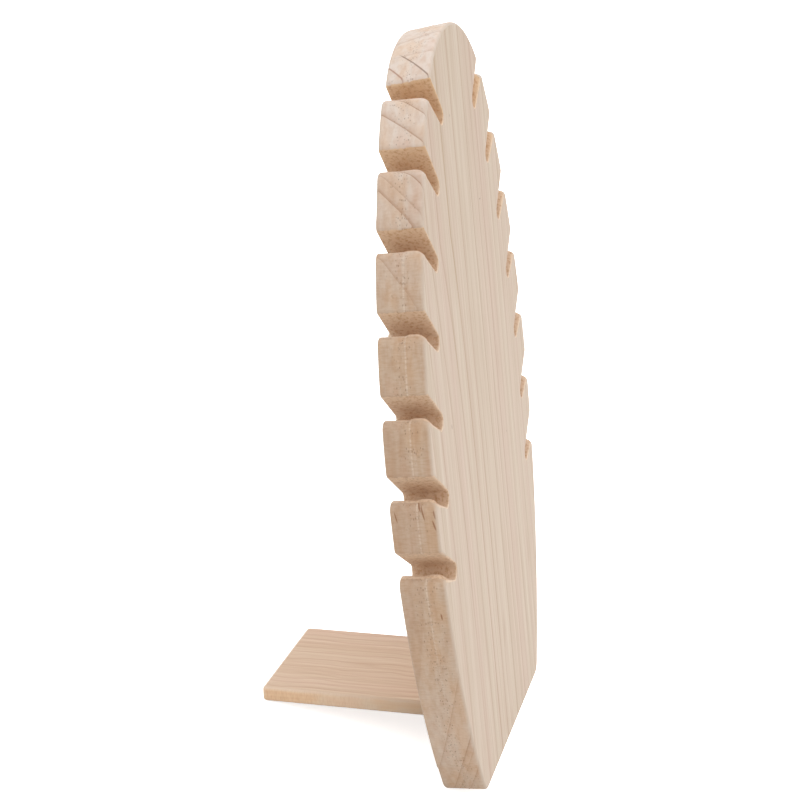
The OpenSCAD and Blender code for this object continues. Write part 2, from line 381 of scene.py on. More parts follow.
def add(tree, kind, inputs=(), stops=(), **settings):
    """Adds a node with its settings, its values and its links. Inputs are named or in
    order; a Mix node's are 0 the share, 2 and 3 its numbers, 6 and 7 its colours. A
    stop on a ramp is a place and a hex colour or a grey level."""
    made = tree.nodes.new("ShaderNode" + kind)
    for key, value in settings.items():
        setattr(made, key, value)
    for key, value in inputs.items() if isinstance(inputs, dict) else enumerate(inputs):
        if isinstance(value, bpy.types.Node):
            value = next(o for o in value.outputs if o.enabled)
        if isinstance(value, bpy.types.NodeSocket):
            tree.links.new(value, made.inputs[key])
        elif isinstance(value, str):
            made.inputs[key].default_value = colour(value)
        else:
            made.inputs[key].default_value = value
    if stops:
        ramp = made.color_ramp.elements
        while len(ramp) < len(stops):
            ramp.new(1)
        for element, (place, tone) in zip(ramp, stops):
            element.position = place
            element.color = colour(tone) if isinstance(tone, str) else (tone, tone, tone, 1)
    return made


def look(name):
    """An empty material and its node tree."""
    material = bpy.data.materials.new(name)
    material.use_nodes = True
    material.node_tree.nodes.clear()
    return material, material.node_tree


def how_far(tree, value, middle):
    """How far a value is from a middle one, either way."""
    off = add(tree, "Math", (value, middle), operation="SUBTRACT")
    return add(tree, "Math", (off,), operation="ABSOLUTE")


def across_rings(tree, local, x, y, z, tilt, waver, sweep):
    """How far across the rings a point lies in mm, as they wander, tilt and sweep."""
    reach, along = waver
    low_tilt, high_tilt, right_tilt = tilt

    # patterns are placed in mm, Z along the fibre, and a scale is how many of a
    # pattern's waves fit in one: a wander takes 30 mm across the fibre
    drawn = add(tree, "Mapping", {"Vector": local, "Scale": (1, 1, along)})
    wander = add(tree, "TexNoise", {"Vector": drawn, "Scale": 0.035, "Detail": 2.0,
                                    "Roughness": 0.45})
    wander = add(tree, "Math", (wander, 0.5), operation="SUBTRACT")
    across = add(tree, "Math", (wander, reach, x), operation="MULTIPLY_ADD")
    left = add(tree, "MapRange", (z, 0.0, 220.0, low_tilt, high_tilt))
    right = add(tree, "MapRange", (x, -40.0, -24.0, 0.0, 1.0), interpolation_type="SMOOTHSTEP")
    tilted = add(tree, "Mix", {0: right, 2: left, 3: right_tilt}, data_type="FLOAT")
    shift = add(tree, "Math", (y, tilted), operation="MULTIPLY")
    across = add(tree, "Math", (across, shift), operation="SUBTRACT")
    if sweep:
        height = add(tree, "MapRange", (z, 0.0, 225.0, 0.0, 1.0))
        risen = add(tree, "Math", (height, 3.0), operation="POWER")
        side = add(tree, "MapRange", (x, -5.0, -60.0, 0.0, sweep),
                   interpolation_type="SMOOTHSTEP")
        across = add(tree, "Math", (risen, side, across), operation="MULTIPLY_ADD")
    return across


def summer_lines(tree, across, rings):
    """How far the wood lies beyond the last summer line, in parts of 10 mm, and how dark
    that line is."""
    places = [place for place, _ in rings]
    low, high, count = places[0], places[-1], len(rings) - 1
    part = add(tree, "MapRange", (across, low, high, 0.0, 1.0))
    years = add(tree, "ValToRGB", {0: part}, stops=[
        ((place - low) / (high - low), i / count) for i, place in enumerate(places)])
    years = add(tree, "Math", (years, float(count)), operation="MULTIPLY")

    # a ramp is a table, so each year is looked up by the middle of its stretch
    number = add(tree, "Math", (years,), operation="FLOOR")
    number = add(tree, "Math", (number, 0.5), operation="ADD")
    number = add(tree, "Math", (number, float(count)), operation="DIVIDE")
    bold = add(tree, "ValToRGB", {0: number}, stops=[
        (i / count, strength) for i, (_, strength) in enumerate(rings[:-1])])
    bold.color_ramp.interpolation = "CONSTANT"
    apart = add(tree, "ValToRGB", {0: number}, stops=[
        (i / count, (places[i + 1] - places[i]) / 100) for i in range(count)])
    apart.color_ramp.interpolation = "CONSTANT"
    year = add(tree, "Math", (years,), operation="FRACT")
    beyond = add(tree, "Math", (year, apart), operation="MULTIPLY")
    beyond = add(tree, "Math", (beyond, 10.0), operation="MULTIPLY")
    return beyond, bold


def grown(tree, lie, rings, tilt, waver, sweep=0):
    """Where a point lies in the piece and in the tree. lie is the piece's place and turn.
    rings are the summer lines: their place across the front in mm and their strength.
    tilt is how fast they shift through the piece: left of its heart at the foot and
    220 mm up, and right of it. waver is how far they wander in mm, and how many times
    as fast along the fibre as across it. sweep is how far the left ones have moved
    outwards 225 mm up."""
    place, turn = lie
    spot = add(tree, "TexCoord")
    local = add(tree, "Mapping", {
        "Vector": spot.outputs["Object"], "Location": place, "Rotation": turn,
        "Scale": (0.001, 0.001, 0.001)}, vector_type="TEXTURE")
    facing = add(tree, "Mapping", {
        "Vector": spot.outputs["Normal"], "Rotation": turn}, vector_type="TEXTURE")
    x, y, z = add(tree, "SeparateXYZ", (local,)).outputs
    _, faceward, upward = add(tree, "SeparateXYZ", (facing,)).outputs
    across = across_rings(tree, local, x, y, z, tilt, waver, sweep)
    beyond, bold = summer_lines(tree, across, rings)

    # the fibres are streaks, 0.5 to 2 mm wide and 30 to 110 mm long
    fibres = add(tree, "Mapping", {"Vector": local, "Scale": (1, 1, 0.02)})
    streaks = add(tree, "TexNoise", {"Vector": fibres, "Scale": 0.45, "Detail": 3.0,
                                     "Roughness": 0.6})
    return SimpleNamespace(
        local=local, x=x, y=y, z=z, faceward=faceward, upward=upward, beyond=beyond,
        bold=bold, fibres=fibres, streaks=streaks)


def planed(name, lie, rings, tilt, waver, early, late, contrast, sweep=0, marks=()):
    """Planed and sanded, unfinished pine: pale spring wood with thin low summer lines,
    faint threads between them and slow changes from pink to straw. marks are small dark
    flecks that go through the piece: their place and half their size in mm."""
    material, tree = look(name)
    at = grown(tree, lie, rings, tilt, waver, sweep)

    # summer lines: dark for 1 mm, then fading over 6 mm
    summer = add(tree, "ValToRGB", {0: at.beyond}, stops=[
        (0, 1), (0.08, 0.9), (0.14, 0.3), (0.3, 0.08), (0.6, 0)])
    summer = add(tree, "Math", (summer, at.bold), operation="MULTIPLY")
    summer = add(tree, "Math", (summer, contrast), operation="MULTIPLY")
    wood = add(tree, "Mix", {0: summer, 6: early, 7: late}, data_type="RGBA")

    # threads from 0.5 to a few mm apart: contours of a slow noise that is drawn out
    # along the fibre
    slow = add(tree, "Mapping", {"Vector": at.local, "Scale": (1, 0.3, 0.01)})
    field = add(tree, "TexNoise", {"Vector": slow, "Scale": 0.08, "Detail": 2.0})
    contour = add(tree, "Math", (field, 34.0), operation="MULTIPLY")
    contour = add(tree, "Math", (contour,), operation="FRACT")
    thread = add(tree, "ValToRGB", {0: contour}, stops=[
        (0, 0.4), (0.1, 0), (0.7, 0), (0.96, 0.4)])
    faint = add(tree, "Math", (thread, contrast), operation="MULTIPLY")
    wood = add(tree, "Mix", {0: faint, 6: wood, 7: late}, data_type="RGBA")

    # bands 20 mm wide: a little straw yellow, then a little pink
    band = add(tree, "TexNoise", {"Vector": slow, "Scale": 0.05, "Detail": 2.0})
    hue = add(tree, "ValToRGB", {0: band}, stops=[(0.35, "#FFFDF4"), (0.65, "#FFF6F0")])
    wood = add(tree, "Mix", {0: 1.0, 6: wood, 7: hue}, data_type="RGBA", blend_type="MULTIPLY")

    # the fibres, and finer ones 0.5 mm wide
    fine = add(tree, "TexNoise", {"Vector": at.fibres, "Scale": 2.2, "Detail": 2.0})
    grain = add(tree, "Mix", {0: 0.4, 2: at.streaks, 3: fine}, data_type="FLOAT")
    shade = add(tree, "ValToRGB", {0: grain}, stops=[(0.3, "#EAE0D5"), (0.62, "#FFFFFF")])
    wood = add(tree, "Mix", {0: 1.0, 6: wood, 7: shade}, data_type="RGBA", blend_type="MULTIPLY")

    for mark_x, mark_z, wide, high in marks:
        off = add(tree, "Mapping", {
            "Vector": at.local, "Location": (mark_x, 0, mark_z),
            "Scale": (wide, 50, high)}, vector_type="TEXTURE")
        far = add(tree, "VectorMath", (off,), operation="LENGTH")
        fleck = add(tree, "MapRange", (far.outputs["Value"], 0.5, 1.0, 0.7, 0.0))
        wood = add(tree, "Mix", {0: fleck, 6: wood, 7: "#8D6E58"}, data_type="RGBA")

    # the nap that the sandpaper left, 0.5 mm from tuft to tuft
    nap = add(tree, "TexNoise", {"Vector": at.local, "Scale": 2.2, "Detail": 3.0,
                                 "Roughness": 0.7})
    height = add(tree, "Math", (nap, 0.5, grain), operation="MULTIPLY_ADD")
    relief = add(tree, "Bump", {"Height": height, "Strength": 0.25, "Distance": 0.0003})
    shader = add(tree, "BsdfPrincipled", {
        "Base Color": wood, "Roughness": 0.6, "Normal": relief})
    add(tree, "OutputMaterial", {"Surface": shader})
    return material


# How much the board's curved edge cuts across its fibres, by the height in parts of
# 300 mm
CUT_ACROSS = ((0, 0.1), (0.1, 0.32), (0.2, 0.14), (0.3, 0.04), (0.6, 0), (0.7, 0.1),
              (0.95, 1))
# How far behind the front face the resin canals crowd
CANALS_AT = 8.2
# Short streaks of dark resin on the left edge: their place and half their size in mm,
# and their lean in radians
RESIN_STREAKS = (
    (6.7, 135.4, 0.42, 2.4, 0.3), (5.4, 133.2, 0.4, 3.4, 0.2),
    (1.0, 132.5, 0.35, 2.1, 0.15), (1.4, 128.3, 0.4, 2.6, 0.25),
    (15.8, 131.6, 0.3, 2.6, 0.19), (3.1, 90.5, 0.4, 1.7, 0.1))
# A drying check and a dark line on the crown's end grain: where they cross the front,
# how far they shift for each mm through the board, from and to where they run through
# it, above what height, and their colour
END_GRAIN_LINES = (
    (-41.6, 0.84, 0, 14.3, 284.0, "#8A6E5C"), (-49.3, 0.82, 10.3, 20, 274.0, "#A87C66"))


def resin_canals(tree, wood, at):
    """Dark ends of resin canals, drawn 0.5 mm across, about three times their real size,
    so that they show."""
    drawn = add(tree, "Mapping", {"Vector": at.local, "Scale": (1, 1, 0.5)})
    canal = add(tree, "TexVoronoi", {"Vector": drawn, "Scale": 1.4})
    dot = add(tree, "MapRange", (canal.outputs["Distance"], 0.4, 0.24, 0.0, 1.0))
    chance = add(tree, "SeparateColor", (canal.outputs["Color"],))
    crowd = add(tree, "TexNoise", {"Vector": at.local, "Scale": 0.12, "Detail": 2.0})
    off = how_far(tree, at.y, CANALS_AT)
    middle = add(tree, "MapRange", (off, 7.0, 0.0, -0.5, 0.25))
    crowd = add(tree, "Math", (crowd, 1.6, middle), operation="MULTIPLY_ADD")
    crowd = add(tree, "Math", (crowd, chance), operation="ADD")
    some = add(tree, "MapRange", (crowd, 1.35, 1.75, 0.0, 0.55))
    resin = add(tree, "Math", (dot, some), operation="MULTIPLY")
    return add(tree, "Mix", {0: resin, 6: wood, 7: "#7E5E48"}, data_type="RGBA")


def resin_streaks(tree, wood, at):
    """The dark streaks: ellipses with no end across the board, on its left side only."""
    endless = 9000
    on_left = add(tree, "MapRange", (at.x, -20.0, -21.0, 0.0, 1.0))
    for streak_y, streak_z, wide, long, lean in RESIN_STREAKS:
        off = add(tree, "Mapping", {
            "Vector": at.local, "Location": (0, streak_y, streak_z),
            "Rotation": (-lean, 0, 0), "Scale": (endless, wide, long)}, vector_type="TEXTURE")
        far = add(tree, "VectorMath", (off,), operation="LENGTH")
        dark = add(tree, "MapRange", (far.outputs["Value"], 0.6, 1.0, 0.8, 0.0))
        dark = add(tree, "Math", (dark, on_left), operation="MULTIPLY")
        wood = add(tree, "Mix", {0: dark, 6: wood, 7: "#8A5A38"}, data_type="RGBA")
    return wood


def pass_line(tree, wood, at):
    """A light broken line, 0.6 mm wide, along the ridge where the two passes meet."""
    ridge = add(tree, "MapRange", (how_far(tree, at.y, FRONT_PASS), 0.45, 0.15, 0.0, 1.0))
    broken = add(tree, "MapRange", (at.saw_marks, 0.4, 0.6, 0.1, 0.5))
    ridge = add(tree, "Math", (ridge, broken), operation="MULTIPLY")
    beside = add(tree, "MapRange", (at.cut_across, 0.1, 0.6, 1.0, 0.0))
    ridge = add(tree, "Math", (ridge, beside), operation="MULTIPLY")
    low = add(tree, "MapRange", (at.z, 30.0, 100.0, 0.0, 1.0))
    ridge = add(tree, "Math", (ridge, low), operation="MULTIPLY")
    return add(tree, "Mix", {0: ridge, 6: wood, 7: "#E6D2BE"}, data_type="RGBA")


def end_grain_lines(tree, wood, at):
    """The check and the dark line, each 0.6 mm wide."""
    for line_x, line_tilt, first, last, above, tone in END_GRAIN_LINES:
        run = add(tree, "Math", (at.y, -line_tilt, at.x), operation="MULTIPLY_ADD")
        line = add(tree, "MapRange", (how_far(tree, run, line_x), 0.45, 0.15, 0.0, 0.8))
        begun = add(tree, "MapRange", (at.y, first, first + 1, 0.0, 1.0))
        line = add(tree, "Math", (line, begun), operation="MULTIPLY")
        ended = add(tree, "MapRange", (at.y, last, last - 2, 0.0, 1.0))
        line = add(tree, "Math", (line, ended), operation="MULTIPLY")
        high = add(tree, "MapRange", (at.z, above, above + 1, 0.0, 1.0))
        line = add(tree, "Math", (line, high), operation="MULTIPLY")
        wood = add(tree, "Mix", {0: line, 6: wood, 7: tone}, data_type="RGBA")
    return wood


def notch_walls(tree, wood, at):
    """Fuzzy walls, torn by the cutter in blotches 1.5 mm across, and more amber where
    they cut across the fibres."""
    blotch = add(tree, "TexNoise", {"Vector": at.local, "Scale": 0.7, "Detail": 3.0,
                                    "Roughness": 0.65})
    torn = add(tree, "ValToRGB", {0: blotch}, stops=[(0.35, "#E0CDBB"), (0.52, "#FFFFFF")])
    wall = add(tree, "Mix", {0: at.cut_across, 6: "#DABC9F", 7: "#DDB88E"}, data_type="RGBA")
    wall = add(tree, "Mix", {0: 1.0, 6: wall, 7: torn}, data_type="RGBA", blend_type="MULTIPLY")
    ragged = add(tree, "Math", (blotch, 0.5), operation="SUBTRACT")
    depth = add(tree, "Math", (ragged, 1.2, at.in_notch), operation="MULTIPLY_ADD")
    inside = add(tree, "MapRange", (depth, 0.3, 0.6, 0.0, 0.85))
    return add(tree, "Mix", {0: inside, 6: wood, 7: wall}, data_type="RGBA")


def painted_crest_highlight(tree, wood, at):
    """A painted highlight: the crests of the teeth and the upward rims of the notches are
    painted paler where they face up.
    """
    middle, rim_w = BOARD_T / 2, CRISP * BOARD_EASING
    rim = add(tree, "MapRange", (how_far(tree, at.y, middle), middle - rim_w, middle, 0.0, 1.0))
    lit = add(tree, "MapRange", (at.upward, 0.0, 0.4, 0.0, 0.7))
    rim = add(tree, "Math", (rim, lit), operation="MULTIPLY")
    rim = add(tree, "Math", (rim, at.in_notch), operation="MULTIPLY")
    crest = add(tree, "MapRange", (at.upward, 0.92, 0.99, 0.0, 0.35))
    beside = add(tree, "MapRange", (at.cut_across, 0.2, 0.9, 1.0, 0.0))
    crest = add(tree, "Math", (crest, beside), operation="MULTIPLY")
    # how much painted highlight each point takes
    wear_and_highlight = add(tree, "Math", (crest, rim), operation="MAXIMUM")
    return add(tree, "Mix", {0: wear_and_highlight, 6: wood, 7: "#EEDCC8"}, data_type="RGBA")


def sawn(name, lie, rings, tilt, waver, side, crosscut, late, face, notched=False):
    """Sawn and lightly sanded pine: pale where the fibres are cut across, tan beside
    them, with sharp summer lines and fine saw marks across the edge. Its rims take the
    face's colour. notched adds what only the board's edge has."""
    material, tree = look(name)
    at = grown(tree, lie, rings, tilt, waver)
    if notched:
        height = add(tree, "MapRange", (at.z, 0.0, 300.0, 0.0, 1.0))
        at.cut_across = add(tree, "ValToRGB", {0: height}, stops=CUT_ACROSS)
        at.in_notch = add(tree, "Attribute", attribute_name="notch").outputs["Fac"]
    else:
        end = add(tree, "Math", (at.upward,), operation="ABSOLUTE")
        at.cut_across = add(tree, "MapRange", (end, 0.1, 0.6, 0.0, 1.0),
                            interpolation_type="SMOOTHSTEP")
    wood = add(tree, "Mix", {0: at.cut_across, 6: side, 7: crosscut}, data_type="RGBA")

    # orange and grey-pink clouds, 10 mm across and 25 along the fibre, and the fibres
    slow = add(tree, "Mapping", {"Vector": at.local, "Scale": (1, 1, 0.35)})
    cloud = add(tree, "TexNoise", {"Vector": slow, "Scale": 0.11, "Detail": 3.0})
    hue = add(tree, "ValToRGB", {0: cloud}, stops=[
        (0.32, "#FFF8F5"), (0.48, "#FFFFFF"), (0.64, "#FFF6EC")])
    wood = add(tree, "Mix", {0: 1.0, 6: wood, 7: hue}, data_type="RGBA", blend_type="MULTIPLY")
    shade = add(tree, "ValToRGB", {0: at.streaks}, stops=[(0.3, "#F3EAE2"), (0.6, "#FFFFFF")])
    wood = add(tree, "Mix", {0: 1.0, 6: wood, 7: shade}, data_type="RGBA", blend_type="MULTIPLY")

    # summer lines: dark for 0.5 mm, then fading over 3 mm, and faint beside the fibres
    summer = add(tree, "ValToRGB", {0: at.beyond}, stops=[
        (0, 1), (0.02, 0.8), (0.05, 0.35), (0.15, 0.12), (0.3, 0)])
    strong = add(tree, "MapRange", (at.cut_across, 0.0, 0.3, 0.3, 0.85))
    summer = add(tree, "Math", (summer, strong), operation="MULTIPLY")
    summer = add(tree, "Math", (summer, at.bold), operation="MULTIPLY")
    wood = add(tree, "Mix", {0: summer, 6: wood, 7: late}, data_type="RGBA")

    # saw marks 0.7 mm apart, drawn across the edge
    ripple = add(tree, "Mapping", {"Vector": at.local, "Scale": (0.2, 0.25, 1)})
    at.saw_marks = add(tree, "TexNoise", {"Vector": ripple, "Scale": 1.5, "Detail": 2.0})
    scored = add(tree, "Mix", {0: at.cut_across, 2: at.saw_marks, 3: 0.5}, data_type="FLOAT")
    shade = add(tree, "ValToRGB", {0: scored}, stops=[(0.3, "#F4EEE8"), (0.6, "#FFFFFF")])
    wood = add(tree, "Mix", {0: 1.0, 6: wood, 7: shade}, data_type="RGBA", blend_type="MULTIPLY")

    if notched:
        for feature in (resin_canals, resin_streaks, pass_line, end_grain_lines):
            wood = feature(tree, wood, at)

    # the sanded rims turn gradually into the planed faces
    out = add(tree, "Math", (at.faceward,), operation="ABSOLUTE")
    near_face = add(tree, "MapRange", (out, 0.1, 0.95, 0.0, 0.7))
    wood = add(tree, "Mix", {0: near_face, 6: wood, 7: face}, data_type="RGBA")
    # the notched board also gets its notch walls and a painted highlight on its upward-facing
    # crests and rims
    if notched:
        wood = painted_crest_highlight(tree, notch_walls(tree, wood, at), at)

    # a rougher nap than on the faces, 0.4 mm from tuft to tuft
    nap = add(tree, "TexNoise", {"Vector": at.local, "Scale": 2.6, "Detail": 3.0,
                                 "Roughness": 0.7})
    height = add(tree, "Math", (scored, 0.5, nap), operation="MULTIPLY_ADD")
    relief = add(tree, "Bump", {"Height": height, "Strength": 0.35, "Distance": 0.0003})
    shader = add(tree, "BsdfPrincipled", {
        "Base Color": wood, "Roughness": 0.7, "Normal": relief})
    add(tree, "OutputMaterial", {"Surface": shader})
    return material


# The summer lines on the face and round the edge: their place in mm and their strength
FACE_RINGS = (
    (-96, 0.5), (-83, 0.5), (-70, 0.6), (-51, 0.7), (-36, 0.7), (-25, 1), (-12, 0.9),
    (-5, 0.4), (9, 0.9), (20, 0.6), (28, 0.8), (36.5, 0.4), (45, 0.6), (54, 0.3),
    (63, 0.5), (73, 0.4), (84, 0.5), (96, 0.5))
EDGE_RINGS = (
    (-98, 0.5), (-83.7, 0.6), (-73.9, 0.8), (-71.2, 0.5), (-66.8, 1), (-58.9, 0.9),
    (-52.7, 1), (-31.1, 0.4), (-16.9, 0.6), (9, 0.5), (20, 0.6), (30, 0.5), (44, 1),
    (53, 0.8), (59, 0.9), (66, 0.5), (71, 0.8), (83, 0.9), (98, 0.5))
# Where the grain's patterns start and how they turn, on the board and on its batten
board_lie = STANDING.translation, STANDING.to_euler()
planed_board = planed(
    "planed white pine", board_lie, FACE_RINGS, tilt=(0.35, 0.35, -0.5), waver=(4.0, 0.12),
    early="#D1C4B8", late="#B3977C", contrast=0.82, sweep=16.0,
    marks=[(24, 231, 1.6, 0.35), (36.5, 125.5, 0.5, 0.5), (-16, 270, 0.4, 0.8),
           (-58.5, 156, 0.6, 1.2)])
sawn_board = sawn(
    "sawn white pine edge", board_lie, EDGE_RINGS, tilt=(1.1, 0.42, -0.33),
    waver=(1.0, 0.12), side="#C7AF98", crosscut="#E5D8CE", late="#A67E62",
    face="#CBBBAB", notched=True)
ease_rims(board_bm, BOARD_T, BOARD_EASING)
in_notch = mark_notches(board_bm)
keep_rims_crisp(board_bm, in_notch)
meet_passes(board_bm, in_notch)
sand_points(board_bm)
sand_crown(board_bm)
shift_left_row(board_bm)
finish_faces(board_bm)
screw_spots = [Vector((x, 0, z)) for x in (-SCREW_OUT, SCREW_OUT) for z in SCREW_HEIGHTS]
drill(board_bm, flat_face(board_bm, REARWARD), [p + BOARD_T * REARWARD for p in screw_spots],
      -REARWARD, [(HOLE_R, 0), (HOLE_R, BOARD_HOLE_DEPTH)])
piece("pine_display_board", board_bm, "display_board", "pine_board",
      planed_board, sawn_board)

# ---- Upright ----
# A pine batten, ripped to width and planed, that stands on the foot behind the board.
# Its rims are broken with sandpaper, and four screws draw it to the board's back.
UPRIGHT_W, UPRIGHT_T, UPRIGHT_TOP, UPRIGHT_CORNER_R = 65, 12, 187.5, 3
FOOT_TOP, FOOT_SPLAY, BATTEN_EASING = 25.8, radians(4.2), 1.2
# The screws' countersinks, and the depth of the two holes in the lower end
SINK_R, SINK_DEPTH, END_HOLE_DEPTH = 3.6, 1.75, 18.8
# What is left on the lower end to be sawn off at the foot's slope
SAW_WASTE = 3
# Z runs up square to the foot and Y rearward along it, from where its upper face
# meets the board's back.
ON_FOOT = Matrix.Translation((0, BOARD_T, FOOT_TOP)) @ Matrix.Rotation(FOOT_SPLAY, 4, "X")
FOOT_UP = ON_FOOT.to_3x3() @ Vector((0, 0, 1))


def strip(width, low, high, corner_r):
    """A rounded rectangle that stands in X and Z."""
    bm = bmesh.new()
    upended = (Matrix.Translation((0, 0, (low + high) / 2)) @ Matrix.Rotation(pi / 2, 4, "X")
               @ Matrix.Diagonal((width / 2, (high - low) / 2, 1, 1)))
    bmesh.ops.create_grid(bm, x_segments=1, y_segments=1, size=1, matrix=upended)
    bmesh.ops.bevel(bm, geom=bm.verts[:], offset=corner_r, offset_type="OFFSET", segments=6,
                    profile=0.5, affect="VERTICES", clamp_overlap=False, material=-1)
    return bm


def saw(bm, through, waste):
    """Cuts a piece through a point and drops the side that waste points to."""
    cut = bmesh.ops.bisect_plane(bm, geom=bm.verts[:] + bm.edges[:] + bm.faces[:],
                                 plane_co=through, plane_no=waste, clear_outer=True)
    rim = [e for e in cut["geom_cut"] if isinstance(e, bmesh.types.BMEdge)]
    end = bmesh.ops.contextual_create(bm, geom=rim, mat_nr=1)
    bmesh.ops.recalc_face_normals(bm, faces=bm.faces[:])
    return end["faces"][0]


upright_bm = strip(UPRIGHT_W, FOOT_TOP - SAW_WASTE, UPRIGHT_TOP, UPRIGHT_CORNER_R)
ease_rims(upright_bm, UPRIGHT_T, BATTEN_EASING)
finish_faces(upright_bm)
bmesh.ops.translate(upright_bm, verts=upright_bm.verts[:], vec=(0, BOARD_T, 0))
lower_end = saw(upright_bm, ON_FOOT.translation, -FOOT_UP)
foot_spots = [ON_FOOT @ Vector((x, UPRIGHT_T / 2, 0)) for x in (-SCREW_OUT, SCREW_OUT)]
drill(upright_bm, lower_end, foot_spots, FOOT_UP, [(HOLE_R, 0), (HOLE_R, END_HOLE_DEPTH)])
head_spots = [p + (BOARD_T + UPRIGHT_T) * REARWARD for p in screw_spots]
drill(upright_bm, flat_face(upright_bm, REARWARD), head_spots, -REARWARD,
      [(SINK_R, 0), (HOLE_R, SINK_DEPTH), (HOLE_R, UPRIGHT_T)],
      flat_face(upright_bm, -REARWARD))
UPRIGHT_RINGS = (
    (-80, 0.5), (-63, 0.7), (-50, 1), (-36, 0.8), (-27, 0.5), (-15, 1), (-7, 0.6), (6, 0.9),
    (15, 0.5), (22, 0.9), (33, 0.7), (44, 1), (58, 0.6), (72, 0.5))
UPRIGHT_TILT = (-0.35, -0.35, -0.35)
planed_batten = planed(
    "planed pine batten", board_lie, UPRIGHT_RINGS, UPRIGHT_TILT, waver=(4.0, 0.12),
    early="#E1CDB7", late="#C09C7E", contrast=0.45)
sawn_batten = sawn(
    "sawn pine batten edge", board_lie, UPRIGHT_RINGS, UPRIGHT_TILT, waver=(1.0, 0.12),
    side="#DDC3A6", crosscut="#E4D1BC", late="#B48C6C", face="#E1CDB7")
piece("pine_upright", upright_bm, "back_upright", "pine_batten", planed_batten, sawn_batten)

# ---- Foot ----
# A quarter-inch pine plate, its grain along it, that props the stand from behind. Its
# front end is mitred to butt on the board, and two screws go up into the upright.
FOOT_W, FOOT_L, FOOT_T, FOOT_CORNER_R = 65, 85.3, 6.3, 2
foot_bm = strip(FOOT_W, -FOOT_T - FOOT_CORNER_R, FOOT_L, FOOT_CORNER_R)
ease_rims(foot_bm, FOOT_T, BATTEN_EASING)
finish_faces(foot_bm)
laid = ON_FOOT @ Matrix.Rotation(-pi / 2, 4, "X")
bmesh.ops.transform(foot_bm, matrix=laid, verts=foot_bm.verts[:])
saw(foot_bm, (0, BOARD_T, 0), -REARWARD)
sole_spots = [p - FOOT_T * FOOT_UP for p in foot_spots]
drill(foot_bm, flat_face(foot_bm, -FOOT_UP), sole_spots, FOOT_UP,
      [(SINK_R, 0), (HOLE_R, SINK_DEPTH), (HOLE_R, FOOT_T)], flat_face(foot_bm, FOOT_UP))
FOOT_RINGS = (
    (-60, 0.5), (-48, 0.8), (-38, 0.7), (-29.5, 1), (-25, 0.6), (-21, 0.9), (-16.5, 0.7),
    (-13.5, 0.5), (-9, 1), (-5.5, 0.7), (-1, 0.9), (3, 0.5), (6.5, 1), (11.5, 0.8),
    (15, 0.6), (19.5, 1), (24, 0.7), (28.5, 0.9), (36, 0.6), (46, 0.8), (58, 0.5))
FOOT_TILT, FOOT_WAVER = (0.5, 0.5, 0.5), (7.0, 1.2)
foot_place, foot_turn, _ = (STANDING @ Matrix.Scale(0.001, 4) @ laid).decompose()
foot_lie = foot_place, foot_turn.to_euler()
planed_foot = planed(
    "planed pine plate", foot_lie, FOOT_RINGS, FOOT_TILT, FOOT_WAVER,
    early="#E1CDBC", late="#BF9678", contrast=0.4)
sawn_foot = sawn(
    "sawn pine plate edge", foot_lie, FOOT_RINGS, FOOT_TILT, FOOT_WAVER,
    side="#EED3B6", crosscut="#EDDAC4", late="#C8A484", face="#E1CDBC")
piece("pine_foot", foot_bm, "foot_plate", "pine_plate", planed_foot, sawn_foot)

# ---- Screws ----
# Zinc-plated countersunk wood screws, 3.5 by 25 mm, cold-headed, with a cross recess.
# Four hold the upright and two the foot; only their heads show.
HEAD_R, SHANK_R, SCREW_L, POINT_L = 3.5, 1.75, 25, 4
RECESS_ARM, RECESS_W, RECESS_DEPTH, RECESS_TAPER = 1.9, 0.75, 1.3, 0.62


def screw():
    """One screw, its head's flat face at the origin and its point up Z."""
    bm = bmesh.new()
    cone = HEAD_R - SHANK_R
    profile = [bm.verts.new(p) for p in
               ((HEAD_R, 0, 0), (SHANK_R, 0, cone), (SHANK_R, 0, SCREW_L - POINT_L),
                (0, 0, SCREW_L))]
    line = [bm.edges.new(pair) for pair in zip(profile, profile[1:])]
    bmesh.ops.spin(bm, geom=profile + line, cent=(0, 0, 0), axis=(0, 0, 1),
                   angle=2 * pi, steps=32, use_merge=True)
    bmesh.ops.remove_doubles(bm, verts=bm.verts[:], dist=0.001)
    for f in bm.faces:
        f.smooth = True
    rim = [e for e in bm.edges if e.is_boundary]

    # the recess: a square drawn out into four arms, then sunk and tapered
    square = bmesh.ops.create_grid(bm, x_segments=1, y_segments=1, size=RECESS_W / 2)
    sides = list(dict.fromkeys(e for v in square["verts"] for e in v.link_edges))
    for side in sides:
        out = (side.verts[0].co + side.verts[1].co).normalized()
        arm = bmesh.ops.extrude_edge_only(bm, edges=[side])
        ends = [v for v in arm["geom"] if isinstance(v, bmesh.types.BMVert)]
        bmesh.ops.translate(bm, verts=ends, vec=out * (RECESS_ARM - RECESS_W / 2))
    cross = [f for f in bm.faces if all(abs(v.co.z) < 0.001 for v in f.verts)]
    mouth = [e for e in bm.edges if e.is_boundary and e not in rim]
    floor_of = bmesh.ops.extrude_face_region(bm, geom=cross)
    low = [v for v in floor_of["geom"] if isinstance(v, bmesh.types.BMVert)]
    bmesh.ops.scale(bm, vec=(RECESS_TAPER, RECESS_TAPER, 1), verts=low)
    bmesh.ops.translate(bm, verts=low, vec=(0, 0, RECESS_DEPTH))
    lids = [f for f in bm.faces if all(abs(v.co.z) < 0.001 for v in f.verts)]
    bmesh.ops.delete(bm, geom=lids, context="FACES_ONLY")
    bmesh.ops.triangle_fill(bm, edges=rim + mouth, normal=(0, 0, -1), use_beauty=True)
    bmesh.ops.recalc_face_normals(bm, faces=bm.faces[:])
    return bm


